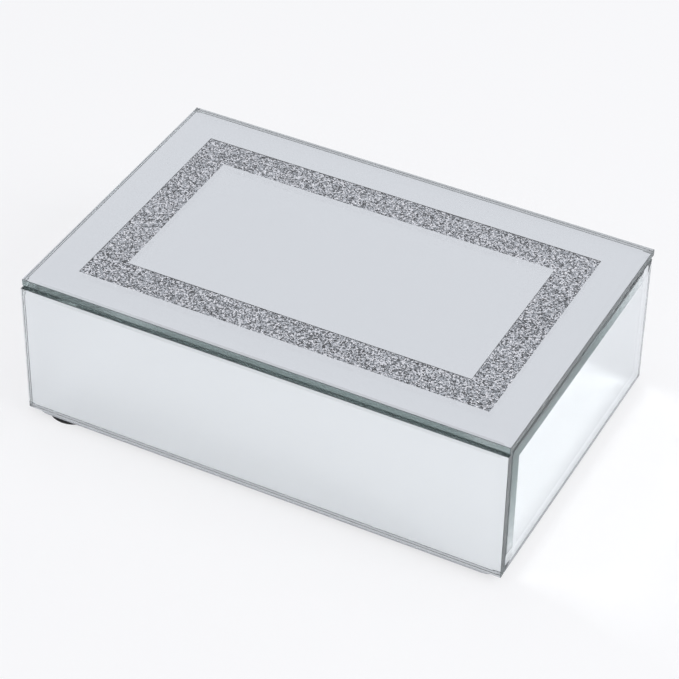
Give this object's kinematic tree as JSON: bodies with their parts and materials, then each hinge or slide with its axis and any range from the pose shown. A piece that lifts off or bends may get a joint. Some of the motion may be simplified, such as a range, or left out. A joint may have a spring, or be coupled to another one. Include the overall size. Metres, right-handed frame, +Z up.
{
  "type": "mirrored trinket box",
  "caption": "Rectangular bevelled-mirror vanity box with a hinged lid, a glitter band framing the lid glass, and a velvet-lined inside for jewellery.",
  "frame": {"origin": "middle of the whole footprint, hinge barrels included, on the surface that the feet stand on", "axes": "+X along the long side to the right, +Y from the front to the hinges at the back, +Z up"},
  "size_m": [0.2492, 0.1658, 0.0799],
  "materials": {
    "mirror_glass": "silvered clear float glass, 4 mm, polished face, ground bevels and flat ground edges",
    "silver_glitter": "silver metallised glitter flakes in clear adhesive",
    "black_fibreboard": "medium density fibreboard, painted matt black",
    "charcoal_velvet": "short-pile velvet on card",
    "grey_felt": "self-adhesive felt, 1.4 mm",
    "nickel_plated_steel": "bright nickel plate, satin",
    "black_rubber": "matt moulded rubber",
    "clear_silicone": "clear soft silicone dot"
  },
  "bodies": {
    "box": {"back_lining": "charcoal_velvet", "back_mirror": "mirror_glass", "back_wall": "black_fibreboard", "base_board": "black_fibreboard", "base_felt": "grey_felt", "body_leaf_screw_1": "nickel_plated_steel", "body_leaf_screw_2": "nickel_plated_steel", "body_leaf_screw_3": "nickel_plated_steel", "body_leaf_screw_4": "nickel_plated_steel", "floor_lining": "charcoal_velvet", "foot_back_left": "black_rubber", "foot_back_right": "black_rubber", "foot_front_left": "black_rubber", "foot_front_right": "black_rubber", "front_lining": "charcoal_velvet", "front_mirror": "mirror_glass", "front_wall": "black_fibreboard", "hinge_left_body_leaf": "nickel_plated_steel", "hinge_left_pin": "nickel_plated_steel", "hinge_right_body_leaf": "nickel_plated_steel", "hinge_right_pin": "nickel_plated_steel", "left_lining": "charcoal_velvet", "left_mirror": "mirror_glass", "left_wall": "black_fibreboard", "lid_bumper_left": "clear_silicone", "lid_bumper_right": "clear_silicone", "right_lining": "charcoal_velvet", "right_mirror": "mirror_glass", "right_wall": "black_fibreboard"},
    "lid": {"glitter_frame": "silver_glitter", "hinge_left_lid_leaf": "nickel_plated_steel", "hinge_right_lid_leaf": "nickel_plated_steel", "lid_board": "black_fibreboard", "lid_leaf_screw_1": "nickel_plated_steel", "lid_leaf_screw_2": "nickel_plated_steel", "lid_leaf_screw_3": "nickel_plated_steel", "lid_leaf_screw_4": "nickel_plated_steel", "lid_lining": "charcoal_velvet", "lid_mirror": "mirror_glass"}
  },
  "joints": [
    {"name": "lid_hinge", "type": "hinge", "parent": "box", "child": "lid", "pos_m": [0, 0.08128, 0.0698], "axis": [-1, 0, 0], "range_deg": [0, 95]}
  ]
}
